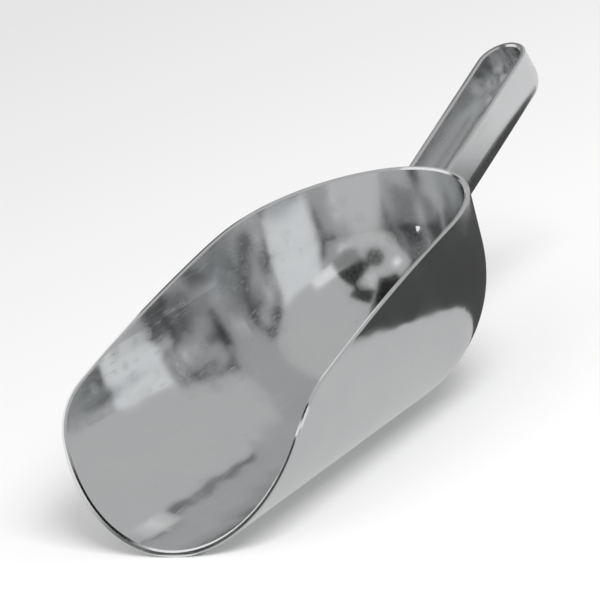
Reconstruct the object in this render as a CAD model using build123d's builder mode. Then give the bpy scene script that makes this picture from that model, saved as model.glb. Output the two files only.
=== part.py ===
from build123d import *
from math import asin, cos, degrees, hypot, radians, sin
import os

# A hand scoop for ice in polished aluminium: a round-bottomed bowl with a domed back,
# and a trough-shaped handle, open on top, welded to the bowl's back.
# Millimetres. +X runs from the lip to the handle, +Z is up, and Y = 0 is the mirror plane.
# The bowl rests on Z = 0, and the origin is under the middle of the overall length.

# ---- overall ----
overall_length = 259.0

# ---- bowl ----
bowl_length = 175.0         # lip to the back of the dome
mouth_radius = 54.5         # outer radius of the round bottom at the lip
back_radius = 51.3          # outer radius of the dome
bowl_wall = 2.0
rear_rim_height = 72.8      # height that the rim's curve reaches, one spare behind the back

# ---- rim, seen from the side ----
lip_angle = 61.4            # slope of the cut at the lip, in degrees
lip_straight = 37.7         # length of that straight cut
shoulder_radius = 32.0      # turn from the lip into the long side
shoulder_angle = 14.7       # slope left where the long side begins
rim_bevel = 0.6             # both edges of the rim are broken by this much

# ---- handle ----
handle_radius = 10.05       # outer radius of the round bottom, and of the round end
handle_side = 10.3          # straight side above the round bottom
handle_wall = 2.2
handle_slope = 19.5         # rise of the handle, in degrees
handle_drop = 11.8          # handle's rim below that height, at the back wall

# ---- welds ----
outer_weld_radius = 8.0     # hollow blend round the outside of the handle's root
inner_weld_leg = 2.0        # flat weld across the corner inside the trough
weld_setback = 1.0          # the welds stop this far below the handle's rim

# ---- working margins ----
spare = 15.0                # how far cutters and blanks run past what they cut
touching = 0.001            # nearer than this, two shapes touch
aligned = 0.99              # cosine above which two directions count as one

# The bevel takes the point of the lip back by this much.
lip_trim = rim_bevel * cos(radians(lip_angle))
lip_x = -overall_length / 2 - lip_trim
back_x = lip_x + bowl_length


def half_outline(front_radius, back_end_radius, reach, lead):
    """One side of a tapered trough in plan, closed along the trough's own axis."""
    spread = asin((front_radius - back_end_radius) / reach)
    start = (-lead, (front_radius + lead * sin(spread)) / cos(spread))
    meet = (reach + back_end_radius * sin(spread), back_end_radius * cos(spread))
    with BuildLine() as outline:
        Line(start, meet)
        CenterArc((reach, 0), back_end_radius, 0, 90 - degrees(spread))
        Polyline((reach + back_end_radius, 0), (-lead, 0), start)
    return outline.line


def trough(plane, front_radius, back_end_radius, reach, side, lead=spare, mode=Mode.ADD):
    """A round-bottomed trough with a ball-shaped end and upright sides, filled solid."""
    with BuildSketch(plane) as half_plan:
        add(half_outline(front_radius, back_end_radius, reach, lead))
        make_face()
    with BuildSketch(plane) as full_plan:
        add(half_plan.sketch_local)
        mirror(about=Plane.XZ)
    revolve(half_plan.sketch, axis=Axis(plane.origin, -plane.x_dir), revolution_arc=180, mode=mode)
    extrude(full_plan.sketch, amount=side, mode=mode)


def edges_along(curve, edges):
    """The edges that follow a side-view curve, without the short ones straight across it."""
    chosen = []
    for edge in edges:
        middle = edge @ 0.5
        side_view = Vertex(middle.X, 0, middle.Z)
        crosses = edge.geom_type == GeomType.LINE and abs((edge % 0.5).Y) > aligned
        if curve.distance_to(side_view) < touching and not crosses:
            chosen.append(edge)
    return chosen


# The bowl's axis sinks towards the back, so that its bottom line lies level.
bowl_reach = hypot(bowl_length - back_radius, mouth_radius - back_radius)
bowl_axis = Plane(
    origin=(lip_x, 0, mouth_radius),
    x_dir=(bowl_length - back_radius, 0, back_radius - mouth_radius),
    z_dir=(mouth_radius - back_radius, 0, bowl_length - back_radius),
)
bowl_side = rear_rim_height - back_radius + spare
cutter_top = rear_rim_height + 3 * spare

# ---- bowl ----
with BuildPart() as bowl:
    trough(bowl_axis, mouth_radius, back_radius, bowl_reach, bowl_side)
    trough(bowl_axis, mouth_radius - bowl_wall, back_radius - bowl_wall, bowl_reach,
           bowl_side, lead=2 * spare, mode=Mode.SUBTRACT)
    with BuildSketch(Plane.XZ):
        with BuildLine():
            lip = PolarLine((lip_x, 0), lip_straight, lip_angle)
            shoulder = JernArc(lip @ 1, lip % 1, shoulder_radius, shoulder_angle - lip_angle)
            side_rim = TangentArc(shoulder @ 1, (back_x + spare, rear_rim_height),
                                  tangent=shoulder % 1)
            under_lip = lip @ 0 - spare * (lip % 0)
            Polyline(side_rim @ 1, (back_x + spare, cutter_top), (lip_x - 2 * spare, cutter_top),
                     (lip_x - 2 * spare, under_lip.Y), under_lip, lip @ 0)
        make_face()
    extrude(amount=mouth_radius + spare, both=True, mode=Mode.SUBTRACT)
    rim_curve = Plane.XZ.from_local_coords(Wire([lip, shoulder, side_rim]))
    chamfer(edges_along(rim_curve, bowl.edges()), length=rim_bevel)
bowl.part.label = "bowl"

# The handle's rim plane starts at the bowl's back, a little below the bowl's own rim.
slope = radians(handle_slope)
handle_root = Vector(back_x + handle_side * sin(slope), 0,
                     rear_rim_height - handle_drop - handle_side * cos(slope))
handle_axis = Plane(origin=handle_root, x_dir=(cos(slope), 0, sin(slope)),
                    z_dir=(-sin(slope), 0, cos(slope)))
handle_reach = (overall_length / 2 - handle_radius - handle_root.X) / cos(slope)
inside_radius = handle_radius - handle_wall

# ---- handle ----
with BuildPart() as handle:
    trough(handle_axis, handle_radius, handle_radius, handle_reach, handle_side)
    trough(handle_axis, inside_radius, inside_radius, handle_reach,
           handle_side, lead=2 * spare, mode=Mode.SUBTRACT)
    trough(bowl_axis, mouth_radius, back_radius, bowl_reach, bowl_side, mode=Mode.SUBTRACT)
    handle_rim = handle.faces().filter_by(lambda face: face.normal_at().dot(handle_axis.z_dir) > aligned)
    long_edges = handle_rim.edges().filter_by(lambda edge: edge.length > 2 * handle_wall)
    chamfer(long_edges, length=rim_bevel)
handle.part.label = "handle"

# ---- welds ----
# The bowl and the handle are joined as tall blanks with one level top, the corner between
# them is rounded, and what the rounding added is the weld.
blank_top = Plane.XY.offset(rear_rim_height + spare / 2)
tall_side = handle_side + 2 * spare
weld_top = handle_axis.offset(handle_side - weld_setback)

with BuildPart() as bowl_blank:
    trough(bowl_axis, mouth_radius, back_radius, bowl_reach, bowl_side)
    split(bisect_by=blank_top, keep=Keep.BOTTOM)

with BuildPart() as handle_blank:
    trough(handle_axis, handle_radius, handle_radius, handle_reach, tall_side)
    split(bisect_by=blank_top, keep=Keep.BOTTOM)

with BuildPart() as trough_blank:
    add(handle_blank.part)
    trough(handle_axis, inside_radius, inside_radius, handle_reach,
           tall_side, lead=2 * spare, mode=Mode.SUBTRACT)


def upright_corners(edges):
    """The edges where two blanks meet, without those in their level top."""
    return edges.filter_by(lambda edge: (edge @ 0.5).Z < blank_top.origin.Z - touching)


def is_inside_trough(edge):
    """True where an edge's middle lies nearer the trough's middle than its outer wall does."""
    middle = handle_axis.to_local_coords(edge @ 0.5)
    return hypot(middle.Y, min(middle.Z, 0)) < handle_radius - handle_wall / 2


with BuildPart() as outer_weld:
    add(bowl_blank.part)
    add(handle_blank.part)
    fillet(upright_corners(outer_weld.edges(Select.NEW)), radius=outer_weld_radius)
    add(bowl_blank.part, mode=Mode.SUBTRACT)
    add(handle_blank.part, mode=Mode.SUBTRACT)
    split(bisect_by=weld_top, keep=Keep.BOTTOM)
outer_weld.part.label = "outer_weld"

# Inside the trough the blanks are the trough's walls alone. Of the corners that these make
# with the bowl, the inner ones are those that the filled handle does not have.
with BuildPart() as inner_weld:
    add(bowl_blank.part)
    add(trough_blank.part)
    corners = upright_corners(inner_weld.edges(Select.NEW))
    chamfer([edge for edge in corners if is_inside_trough(edge)], length=inner_weld_leg)
    add(bowl_blank.part, mode=Mode.SUBTRACT)
    add(trough_blank.part, mode=Mode.SUBTRACT)
    split(bisect_by=weld_top, keep=Keep.BOTTOM)
inner_weld.part.label = "inner_weld"

os.makedirs("parts", exist_ok=True)
for piece in (bowl, handle, outer_weld, inner_weld):
    export_step(piece.part, "parts/" + piece.part.label + ".step")
    print(piece.part.label, round(piece.part.volume), "mm3", piece.part.bounding_box())
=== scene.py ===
# %% [markdown]
# # An ice scoop in polished aluminium
# The bowl, the handle and their two welds come from the engineer's model and stay exactly
# where it puts them. Their shape is finished, so this lesson is about how bare metal is
# made to look like metal: its colour, its polish, the marks of the buffing wheel and of
# use, and the surroundings that it mirrors. The model is loaded first, as a fixed frame.

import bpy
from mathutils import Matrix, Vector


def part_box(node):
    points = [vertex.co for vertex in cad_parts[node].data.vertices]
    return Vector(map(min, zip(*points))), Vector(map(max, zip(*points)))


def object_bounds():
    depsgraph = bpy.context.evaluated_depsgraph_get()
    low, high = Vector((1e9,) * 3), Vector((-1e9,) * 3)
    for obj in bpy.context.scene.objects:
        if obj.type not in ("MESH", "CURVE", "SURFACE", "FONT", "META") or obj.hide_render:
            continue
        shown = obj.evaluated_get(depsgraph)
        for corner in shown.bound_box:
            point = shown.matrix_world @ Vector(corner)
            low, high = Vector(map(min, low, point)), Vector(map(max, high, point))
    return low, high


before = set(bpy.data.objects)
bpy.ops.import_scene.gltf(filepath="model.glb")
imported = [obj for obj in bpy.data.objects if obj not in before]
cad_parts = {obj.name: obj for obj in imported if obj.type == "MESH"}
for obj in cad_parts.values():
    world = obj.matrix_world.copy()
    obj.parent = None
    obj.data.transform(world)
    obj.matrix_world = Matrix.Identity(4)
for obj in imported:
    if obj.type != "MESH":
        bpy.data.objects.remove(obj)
cad_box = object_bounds()
print("loaded", sorted(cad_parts))

# %% [markdown]
# ## Tools, and how large the scoop is
# Everything is in metres, so a size in millimetres is written as a number times MM. Places
# in the scene are measured from the middle of the scoop's box, and not typed in by eye.

# %% Tools and the pieces
import math

import bmesh
import bpy
from mathutils import Matrix, Vector

MM = 0.001
low, high = cad_box
middle = (low + high) / 2
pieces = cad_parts
print("size in mm", [round(side / MM, 1) for side in high - low])

# %% [markdown]
# ## Colours
# A colour picked on a screen is sRGB. The renderer adds and multiplies light, so it needs
# the linear value, and this function is the only place where the change is made.

# %% Colour helper
SHINY_TINT, DULL_TINT = "DDDFE1", "E8E9E9"


def linear(hex_colour):
    """A linear RGBA colour from an sRGB hex value such as "DDDFE1"."""
    shares = [int(hex_colour[i:i + 2], 16) / 255 for i in (0, 2, 4)]
    return [s / 12.92 if s <= 0.04045 else ((s + 0.055) / 1.055) ** 2.4 for s in shares] + [1]


for state, tint in (("shiny", SHINY_TINT), ("dull", DULL_TINT)):
    print(state, "aluminium mirrors", [round(share, 3) for share in linear(tint)[:3]])

# %% [markdown]
# ## Nodes
# A material is a small graph: each node makes or changes a number, a colour or a surface.
# One helper adds a node, sets it and links other nodes into it, so each material below
# reads as a list of what is done to the metal. A setting is either a property of the node
# or the value of one of its sockets, and the helper takes both by name.

# %% Node helper
def add_node(tree, kind, settings=None, links=None):
    """Adds a node, sets its properties and sockets, and links other nodes' sockets into it."""
    node = tree.nodes.new(kind)
    for name, value in (settings or {}).items():
        if isinstance(name, str) and hasattr(node, name):
            setattr(node, name, value)
        else:
            node.inputs[name].default_value = value
    for name, socket in (links or {}).items():
        tree.links.new(socket, node.inputs[name])
    return node


def new_material(name):
    """A material whose node tree holds nothing but its output."""
    material = bpy.data.materials.new(name)
    material.use_nodes = True
    tree = material.node_tree
    tree.nodes.clear()
    output = tree.nodes.new("ShaderNodeOutputMaterial")
    return material, tree, output


print("helpers", new_material.__name__, "and", add_node.__name__, "are ready")

# %% [markdown]
# ## Cast aluminium, polished on a buffing wheel
# Bare aluminium is a metal: it has no colour of its own beneath the surface, and its base
# colour is the share of light that it mirrors, a little under 0.8 and a touch cooler than
# neutral. A wheel takes off the casting skin and leaves a bright surface that is still
# slightly uneven, so straight reflections come back bent, with soft edges. The sizes
# below are what the wheel and the years leave: waves, lines, dull patches, hairlines.

# %% Sizes of the marks
WAVE_SIZE = 22 * MM          # from one wave in the polish to the next, along the scoop
WAVE_LENGTH = 130 * MM       # how far each wave runs round the bowl
LINE_LENGTH = 16 * MM        # one stroke of the buffing wheel
LINE_SPACING = 0.9 * MM      # really under 0.1 mm, drawn as coarse as it needs to show
PATCH_SIZE = 22 * MM         # a dull patch, about a fingertip
HAIRLINE_LENGTH = 40 * MM    # what an ice cube leaves as it slides out
HAIRLINE_SPACING = 0.8 * MM  # also drawn coarser than it is
DROP_SPACING = 9 * MM        # dried water drops
print("waves", round(WAVE_SIZE / MM), "mm apart, lines", round(LINE_SPACING / MM, 1), "mm apart")

# %% [markdown]
# ## Waves and wheel lines
# The hand that holds the work against the wheel leans now more, now less, which leaves
# long shallow waves round the bowl. The wheel itself leaves fine lines along its stroke.
# Both are noise, stretched by a Mapping node to the real size of a wave or a line. They
# tilt the surface through bump nodes, because a change of shape this small bends the
# mirror image without showing in the outline.

# %% Polish
BOWL_WAVE, HANDLE_WAVE, WELD_WAVE = 0.9 * MM, 0.03 * MM, 0.12 * MM
LINE_DEPTH, HANDLE_LINE_DEPTH = 0.01 * MM, 0.004 * MM
LINE_STRENGTH = 0.25


def polish(tree, place, slope, wave_height, line_depth):
    """Two sockets: the surface's tilt, and how strong a wheel line is at each point."""
    across = add_node(tree, "ShaderNodeMapping",
                      {"vector_type": "TEXTURE", "Scale": (WAVE_SIZE, WAVE_LENGTH, WAVE_LENGTH)},
                      {"Vector": place})
    waves = add_node(tree, "ShaderNodeTexNoise", {"Scale": 1.0, "Detail": 1.0, "Roughness": 0.4},
                     {"Vector": across.outputs["Vector"]})
    along = add_node(tree, "ShaderNodeMapping",
                     {"vector_type": "TEXTURE", "Rotation": (0, -slope, 0),
                      "Scale": (LINE_LENGTH, LINE_SPACING, LINE_SPACING)}, {"Vector": place})
    lines = add_node(tree, "ShaderNodeTexNoise", {"Scale": 1.0, "Detail": 2.0, "Roughness": 0.6},
                     {"Vector": along.outputs["Vector"]})
    uneven = add_node(tree, "ShaderNodeBump", {"Strength": 1.0, "Distance": wave_height},
                      {"Height": waves.outputs["Fac"]})
    brushed = add_node(tree, "ShaderNodeBump", {"Strength": LINE_STRENGTH, "Distance": line_depth},
                       {"Height": lines.outputs["Fac"], "Normal": uneven.outputs["Normal"]})
    return brushed.outputs["Normal"], lines.outputs["Fac"]


print("a wave tilts the wall by about", round(math.degrees(BOWL_WAVE / WAVE_SIZE), 1), "degrees")

# %% [markdown]
# ## Dull patches
# Roughness does most of the work on a metal: it says how far the mirror image is blurred.
# Polish wears off unevenly, so one roughness all over would look like plastic film. Noise
# the size of a fingertip makes the metal duller in patches, and each wheel line adds or
# takes a little.

# %% Dullness
SHINIEST, DULLEST = 0.8, 1.5                        # times the metal's own roughness
LINE_SHINIER, LINE_DULLER = -0.015, 0.02            # added to it
PATCH_NOISE, LINE_NOISE = (0.35, 0.75), (0.3, 0.7)  # the noise at the shiny and dull ends


def patchy_roughness(tree, roughness, patches, lines):
    """A socket with the roughness of polish that is worn in patches."""
    worn = add_node(tree, "ShaderNodeMapRange",
                    {"From Min": PATCH_NOISE[0], "From Max": PATCH_NOISE[1],
                     "To Min": roughness * SHINIEST, "To Max": roughness * DULLEST},
                    {"Value": patches})
    lined = add_node(tree, "ShaderNodeMapRange",
                     {"From Min": LINE_NOISE[0], "From Max": LINE_NOISE[1],
                      "To Min": LINE_SHINIER, "To Max": LINE_DULLER}, {"Value": lines})
    return add_node(tree, "ShaderNodeMath", {"operation": "ADD"},
                    {0: worn.outputs["Result"], 1: lined.outputs["Result"]}).outputs[0]


print("patches run from", SHINIEST, "to", DULLEST, "times the roughness")

# %% [markdown]
# ## Where the bowl is scuffed
# Ice scratches only the inside of the bowl. Bowl and dome are round about one line that
# ends in the dome's middle, so a face whose normal points towards that line is inside.
# A fixed direction would not do, because the wall turns from floor to side to back.

# %% Inside of the bowl
bowl_low, bowl_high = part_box("bowl")
bowl_radius = (bowl_high.y - bowl_low.y) / 2
dome_middle = bowl_high.x - bowl_radius
OUTSIDE_FACING, INSIDE_FACING = -0.5, -0.8  # 1 points away from that line, -1 towards it


def inside_of_bowl(tree, place, normal):
    """A socket that is 1 on the inside of the bowl and 0 on its outside and its rim."""
    axes = add_node(tree, "ShaderNodeSeparateXYZ", {}, {"Vector": place})
    nearest = add_node(tree, "ShaderNodeMath", {"operation": "MINIMUM", 1: dome_middle},
                       {0: axes.outputs["X"]})
    centre = add_node(tree, "ShaderNodeCombineXYZ", {"Z": bowl_radius},
                      {"X": nearest.outputs[0]})
    outward = add_node(tree, "ShaderNodeVectorMath", {"operation": "SUBTRACT"},
                       {0: place, 1: centre.outputs[0]})
    unit = add_node(tree, "ShaderNodeVectorMath", {"operation": "NORMALIZE"},
                    {0: outward.outputs[0]})
    facing = add_node(tree, "ShaderNodeVectorMath", {"operation": "DOT_PRODUCT"},
                      {0: unit.outputs[0], 1: normal})
    return add_node(tree, "ShaderNodeMapRange",
                    {"From Min": OUTSIDE_FACING, "From Max": INSIDE_FACING},
                    {"Value": facing.outputs["Value"]}).outputs["Result"]


print("bowl radius in mm", round(bowl_radius / MM, 1),
      "dome's middle at x", round(dome_middle / MM, 1))

# %% [markdown]
# ## Hairlines and dried drops
# Ice cubes slide out over the lip, a little askew, and leave hairlines. Water dries in
# drops and leaves round dull spots. Only the tops of a stretched noise become hairlines,
# and a Voronoi texture gives each drop its own middle. Both add roughness and no depth,
# because neither can be felt with a finger.

# %% Scuffs
HAIRLINE_TURN = (0.2, 0, 0.12)  # radians away from straight out over the lip
HAIRLINE_DULLNESS, DROP_DULLNESS = 0.10, 0.05
HAIRLINE_NOISE = (0.62, 0.72)        # only these tops of the noise show
DROP_MIDDLE, DROP_EDGE = 0.22, 0.30  # shares of the drops' spacing


def scuffed_roughness(tree, place, inside, rough):
    """Adds hairlines and dried drops to a roughness socket, where `inside` is 1."""
    sliding = add_node(tree, "ShaderNodeMapping",
                       {"vector_type": "TEXTURE", "Rotation": HAIRLINE_TURN,
                        "Scale": (HAIRLINE_LENGTH, HAIRLINE_SPACING, HAIRLINE_SPACING)},
                       {"Vector": place})
    hairs = add_node(tree, "ShaderNodeTexNoise", {"Scale": 1.0, "Detail": 1.0},
                     {"Vector": sliding.outputs["Vector"]})
    hairlines = add_node(tree, "ShaderNodeMapRange",
                         {"From Min": HAIRLINE_NOISE[0], "From Max": HAIRLINE_NOISE[1],
                          "To Max": HAIRLINE_DULLNESS},
                         {"Value": hairs.outputs["Fac"]})
    drops = add_node(tree, "ShaderNodeTexVoronoi", {"Scale": 1 / DROP_SPACING},
                     {"Vector": place})
    spots = add_node(tree, "ShaderNodeMapRange",
                     {"interpolation_type": "SMOOTHSTEP", "From Min": DROP_EDGE,
                      "From Max": DROP_MIDDLE, "To Max": DROP_DULLNESS},
                     {"Value": drops.outputs["Distance"]})
    marks = add_node(tree, "ShaderNodeMath", {"operation": "ADD"},
                     {0: hairlines.outputs["Result"], 1: spots.outputs["Result"]})
    return add_node(tree, "ShaderNodeMath", {"operation": "MULTIPLY_ADD"},
                    {0: marks.outputs[0], 1: inside, 2: rough}).outputs[0]


print("a drop is", round(2 * DROP_EDGE * DROP_SPACING / MM, 1), "mm across")

# %% [markdown]
# ## The metal itself
# One function puts the finish together, and the bowl, the handle and the welds each get
# it with their own roughness and direction of polish. The patches also tint the metal by
# a hair, because dull metal looks a little paler and less blue than shiny metal.

# %% Aluminium
def polished_aluminium(name, roughness, slope=0.0, wave_height=BOWL_WAVE, line_depth=LINE_DEPTH,
                       scuffed=False):
    """Buffed aluminium whose wheel lines run along X, or up a slope of that many radians."""
    material, tree, output = new_material(name)
    coordinates = add_node(tree, "ShaderNodeTexCoord")
    place, normal = coordinates.outputs["Object"], coordinates.outputs["Normal"]
    tilt, lines = polish(tree, place, slope, wave_height, line_depth)
    patches = add_node(tree, "ShaderNodeTexNoise",
                       {"Scale": 1 / PATCH_SIZE, "Detail": 4.0, "Roughness": 0.55},
                       {"Vector": place}).outputs["Fac"]
    rough = patchy_roughness(tree, roughness, patches, lines)
    if scuffed:
        rough = scuffed_roughness(tree, place, inside_of_bowl(tree, place, normal), rough)
    tint = add_node(tree, "ShaderNodeMix",
                    {"data_type": "RGBA", "A": linear(SHINY_TINT), "B": linear(DULL_TINT)},
                    {"Factor": patches})
    shader = add_node(tree, "ShaderNodeBsdfPrincipled", {"Metallic": 1.0},
                      {"Base Color": tint.outputs[2], "Roughness": rough, "Normal": tilt})
    tree.links.new(shader.outputs["BSDF"], output.inputs["Surface"])
    print(name, "has", len(tree.nodes), "nodes")
    return material


BOWL_ROUGHNESS = 0.13
bowl_metal = polished_aluminium("buffed cast aluminium, scuffed inside", BOWL_ROUGHNESS,
                                scuffed=True)

# %% [markdown]
# ## Handle and welds
# The handle was buffed along its own length, which rises from the bowl, and hands keep it
# a little duller. A weld is ground flush and then polished with less care, so it is as
# dull as the handle and its lines run steeply up it. All three could share one material,
# but then the wheel lines would cross the handle at a slant, so each gets its own.

# %% Handle and welds
HANDLE_ROUGHNESS, WELD_ROUGHNESS = 0.2, 0.2
HANDLE_SLOPE = math.radians(19.5)  # how steeply the handle rises
WELD_SLOPE = math.radians(69)      # how steeply the weld climbs the bowl's back
handle_metal = polished_aluminium("buffed cast aluminium, dulled by hands", HANDLE_ROUGHNESS,
                                  slope=HANDLE_SLOPE, wave_height=HANDLE_WAVE,
                                  line_depth=HANDLE_LINE_DEPTH)
weld_metal = polished_aluminium("aluminium weld, ground and polished", WELD_ROUGHNESS,
                                slope=WELD_SLOPE, wave_height=WELD_WAVE)
metals = {"bowl": bowl_metal, "handle": handle_metal,
          "outer_weld": weld_metal, "inner_weld": weld_metal}
for name, piece in pieces.items():
    piece.data.materials.clear()
    piece.data.materials.append(metals[name])
    print(name, "is", metals[name].name)

# %% [markdown]
# ## The floor
# The scoop rests on white paper, far larger than the picture. A plane would do on its own,
# but seen from below it would hide the scoop, so its back face is clear. The paper has no
# gloss at all, because even a little would mirror the set that stands round the scoop.

# %% Floor
FLOOR_HALF_WIDTH = 4


def add_mesh_object(name, bm):
    """Turns a bmesh into an object at the origin and adds it to the scene."""
    mesh = bpy.data.meshes.new(name)
    bm.to_mesh(mesh)
    bm.free()
    thing = bpy.data.objects.new(name, mesh)
    bpy.context.scene.collection.objects.link(thing)
    return thing


bm = bmesh.new()
bmesh.ops.create_grid(bm, x_segments=1, y_segments=1, size=FLOOR_HALF_WIDTH)
floor = add_mesh_object("floor", bm)
paper, tree, output = new_material("white paper")
sheet = add_node(tree, "ShaderNodeBsdfPrincipled",
                 {"Base Color": linear("FCFCFC"), "Roughness": 0.9, "Specular IOR Level": 0.0})
clear = add_node(tree, "ShaderNodeBsdfTransparent")
side = add_node(tree, "ShaderNodeNewGeometry")
either = add_node(tree, "ShaderNodeMixShader", {},
                  {0: side.outputs["Backfacing"], 1: sheet.outputs[0], 2: clear.outputs[0]})
tree.links.new(either.outputs[0], output.inputs["Surface"])
floor.data.materials.append(paper)
print("floor", floor.dimensions.x, "by", floor.dimensions.y, "m of", paper.name)

# %% [markdown]
# ## What the metal mirrors
# A polished thing is a picture of the room round it. In a studio it stands in a tent of
# grey cloth, with pale and dark panels hung where a highlight or a dark accent is
# wanted. Lamps alone would leave bare metal almost black with a few hot spots, so the
# tent glows evenly. Only rays that leave the metal meet it: it lights nothing and hides
# nothing. It is a cylinder along the scoop, cut off just above the floor.

# %% Light tent
TENT_RADIUS = 0.3
TENT_FROM, TENT_TO = -0.9, 0.75
TENT_HEM = 2 * MM  # above the floor
TENT_SIDES, TENT_COLOUR = 64, "BCBCBC"


def mirrored_only(thing, hex_colour):
    """Makes a plain set piece that nothing but a mirrored ray meets."""
    thing.visible_camera = False
    thing.visible_diffuse = False
    thing.visible_shadow = False
    thing.visible_transmission = False
    cloth, tree, output = new_material("evenly lit cloth " + hex_colour)
    glow = add_node(tree, "ShaderNodeEmission", {"Color": linear(hex_colour), "Strength": 1.0})
    tree.links.new(glow.outputs["Emission"], output.inputs["Surface"])
    cloth.cycles.emission_sampling = "NONE"
    thing.data.materials.append(cloth)


bm = bmesh.new()
bmesh.ops.create_cone(bm, cap_ends=True, segments=TENT_SIDES, radius1=TENT_RADIUS,
                      radius2=TENT_RADIUS, depth=TENT_TO - TENT_FROM)
bmesh.ops.rotate(bm, verts=bm.verts, matrix=Matrix.Rotation(math.radians(90), 3, "Y"))
bmesh.ops.translate(bm, verts=bm.verts, vec=((TENT_FROM + TENT_TO) / 2, 0, 0))
bmesh.ops.bisect_plane(bm, geom=bm.verts[:] + bm.edges[:] + bm.faces[:],
                       plane_co=(0, 0, TENT_HEM), plane_no=(0, 0, -1), clear_outer=True)
light_tent = add_mesh_object("light_tent", bm)
mirrored_only(light_tent, TENT_COLOUR)
print("tent", [round(side, 2) for side in light_tent.dimensions], "m,",
      len(light_tent.data.polygons), "faces")

# %% [markdown]
# ## Panels in the tent
# The dark and light streaks on polished metal are these panels, bent by its curves. Flat
# cards would stick out of the tent, so each panel follows its curve: one edge along the
# tent is spun round the tent's own line by as many degrees as the panel is wide. Degrees
# count from the floor on the side of the lens, over the top, to the floor on the far side.

# %% Panels
PANEL_RADIUS = TENT_RADIUS - 10 * MM
PANEL_STEPS = 12
PANELS = [
    ("grey_front", -0.89, -0.36, 1, 30, "8C8C8C"),
    ("white_lip", -0.335, 0.08, 119, 168, "FFFFFF"),
    ("white_back", -0.89, -0.64, 120, 141, "FFFFFF"),
    ("pale_low", -0.33, -0.14, 14, 34, "F0F0F0"),
    ("pale_high", -0.62, -0.40, 62, 80, "D0D0D0"),
    ("black_mid", -0.37, -0.25, 60, 84, "343434"),
    ("black_top", -0.54, -0.13, 86, 119, "202020"),
    ("black_far", -0.44, -0.34, 119, 150, "404040"),
    ("black_near", -0.89, -0.33, 32, 60, "2C2C2C"),
    ("pale_rim", 0.02, 0.15, 108, 122, "E8E8E8"),
    ("grey_handle", 0.18, 0.26, 113, 124, "707070"),
    ("black_rim", 0.09, 0.20, 125, 150, "404040"),
]
for name, start, end, first_degree, last_degree, hex_colour in PANELS:
    bm = bmesh.new()
    ends = [bm.verts.new((x, -PANEL_RADIUS, 0)) for x in (start, end)]
    edge = bm.edges.new(ends)
    bmesh.ops.rotate(bm, verts=bm.verts,
                     matrix=Matrix.Rotation(math.radians(-first_degree), 3, "X"))
    bmesh.ops.spin(bm, geom=ends + [edge], cent=(0, 0, 0), axis=(-1, 0, 0),
                   angle=math.radians(last_degree - first_degree), steps=PANEL_STEPS)
    mirrored_only(add_mesh_object(name, bm), hex_colour)
    print(name, "hangs at x", start, "to", end, "m,", first_degree, "to", last_degree, "deg")

# %% [markdown]
# ## A screen at the tent's end
# The dome looks out of the mouth at the far end of the tent. A round dark screen there
# gives it the dark patch that makes a hollow look deep. It is a disc, because the dome
# would bend a square one into a shape with corners.

# %% End screen
SCREEN_RADIUS, SCREEN_SIDES, SCREEN_COLOUR = 0.12, 32, "4C4C4C"
SCREEN_MIDDLE = (TENT_FROM + 10 * MM, -0.08, 0.17)
bm = bmesh.new()
bmesh.ops.create_circle(bm, cap_ends=True, segments=SCREEN_SIDES, radius=SCREEN_RADIUS)
bmesh.ops.rotate(bm, verts=bm.verts, matrix=Matrix.Rotation(math.radians(90), 3, "Y"))
bmesh.ops.translate(bm, verts=bm.verts, vec=SCREEN_MIDDLE)
mirrored_only(add_mesh_object("dark_end", bm), SCREEN_COLOUR)
print("screen", round(2 * SCREEN_RADIUS, 2), "m across, at x", round(SCREEN_MIDDLE[0], 2), "m")

# %% [markdown]
# ## Cards on the floor
# The outside of the bowl mirrors the floor beside it. Plain white paper there would make
# the whole wall one pale tone, so grey, dark and pale cards lie on it. They give the wall
# a dark upper half and a pale lower half, with a clean line between them.

# %% Floor cards
CARD_WIDTH, CARD_HEIGHT = 0.58, 1 * MM
HALF_A_METRE = 0.5  # a grid's size is half its side, so each card starts a metre square
CARDS = [("grey_card", -0.88, 0.045, "C6C6C6"), ("dark_card", 0.045, 0.245, "4C4C4C"),
         ("pale_card", 0.245, 0.60, "E4E4E4")]
for name, start, end, hex_colour in CARDS:
    bm = bmesh.new()
    bmesh.ops.create_grid(bm, x_segments=1, y_segments=1, size=HALF_A_METRE)
    bmesh.ops.scale(bm, verts=bm.verts, vec=(end - start, CARD_WIDTH, 1))
    bmesh.ops.translate(bm, verts=bm.verts, vec=((start + end) / 2, 0, CARD_HEIGHT))
    mirrored_only(add_mesh_object(name, bm), hex_colour)
    print(name, "lies at x", start, "to", end, "m")

# %% [markdown]
# ## Light
# The paper and the scoop's shadow need light of their own. An even white world gives most
# of it, and one large soft lamp above and in front gives the shadow its side. A small
# lamp would draw a hard shadow. The lamp itself isn't mirrored, because the tent is.

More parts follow.
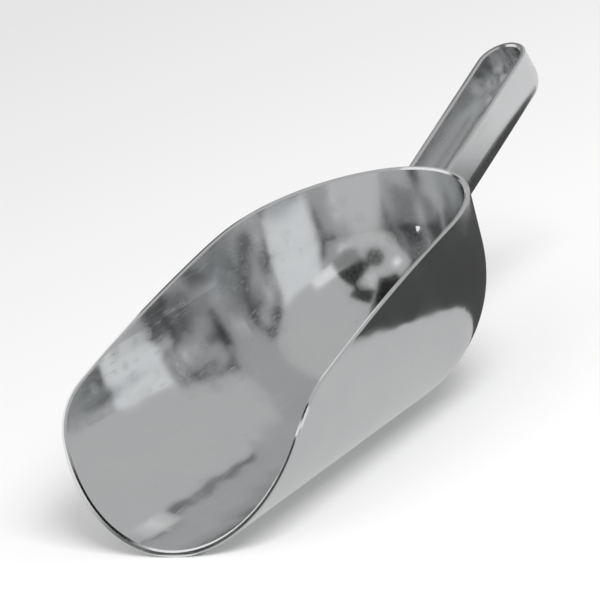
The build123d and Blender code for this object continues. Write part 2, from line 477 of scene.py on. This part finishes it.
# %% World and lamp
WORLD_STRENGTH = 0.64
KEY_PLACE, KEY_WIDTH, KEY_POWER = Vector((-0.4, -0.9, 1.2)), 0.8, 14
world = bpy.data.worlds.new("studio")
bpy.context.scene.world = world
world.use_nodes = True
background = world.node_tree.nodes["Background"]
background.inputs["Color"].default_value = linear("FFFFFF")
background.inputs["Strength"].default_value = WORLD_STRENGTH
lamp = bpy.data.lights.new("key light", "AREA")
lamp.size = KEY_WIDTH
lamp.energy = KEY_POWER
key = bpy.data.objects.new("key light", lamp)
key.matrix_world = (Matrix.Translation(KEY_PLACE)
                    @ (middle - KEY_PLACE).to_track_quat("-Z", "Y").to_matrix().to_4x4())
key.visible_glossy = False
bpy.context.scene.collection.objects.link(key)
print("world at", WORLD_STRENGTH, "of full light, key light of", lamp.energy, "W,",
      round((middle - KEY_PLACE).length, 2), "m away")

# %% [markdown]
# ## Camera
# A short lens close by would swell the lip, so this is a long lens from nearly two metres,
# a little above the scoop. It is tipped, because the scoop is shown as a hand would hold
# it, with its lip down, and turning the camera is simpler than turning the scoop.

# %% Camera
AZIMUTH, ELEVATION, ROLL = math.radians(-51.35), math.radians(16.3), math.radians(15.35)
DISTANCE, LENS, SENSOR_WIDTH = 1.878, 325, 36
PICTURE_SHIFT = Vector((-11.7, 14.7, 0.2)) * MM  # from the scoop's middle to the picture's
towards_camera = Vector((math.sin(AZIMUTH) * math.cos(ELEVATION),
                         -math.cos(AZIMUTH) * math.cos(ELEVATION), math.sin(ELEVATION)))
camera_place = middle + DISTANCE * towards_camera
picture_middle = middle + PICTURE_SHIFT
camera = bpy.data.cameras.new("camera")
camera.sensor_width = SENSOR_WIDTH
camera.lens = LENS
camera_holder = bpy.data.objects.new("camera", camera)
aim = (picture_middle - camera_place).to_track_quat("-Z", "Y").to_matrix().to_4x4()
camera_holder.matrix_world = (Matrix.Translation(camera_place) @ aim
                              @ Matrix.Rotation(-ROLL, 4, "Z"))
bpy.context.scene.collection.objects.link(camera_holder)
bpy.context.scene.camera = camera_holder
bpy.context.scene.view_settings.view_transform = "Standard"
print("camera at", [round(value, 3) for value in camera_place], "with a", LENS, "mm lens")
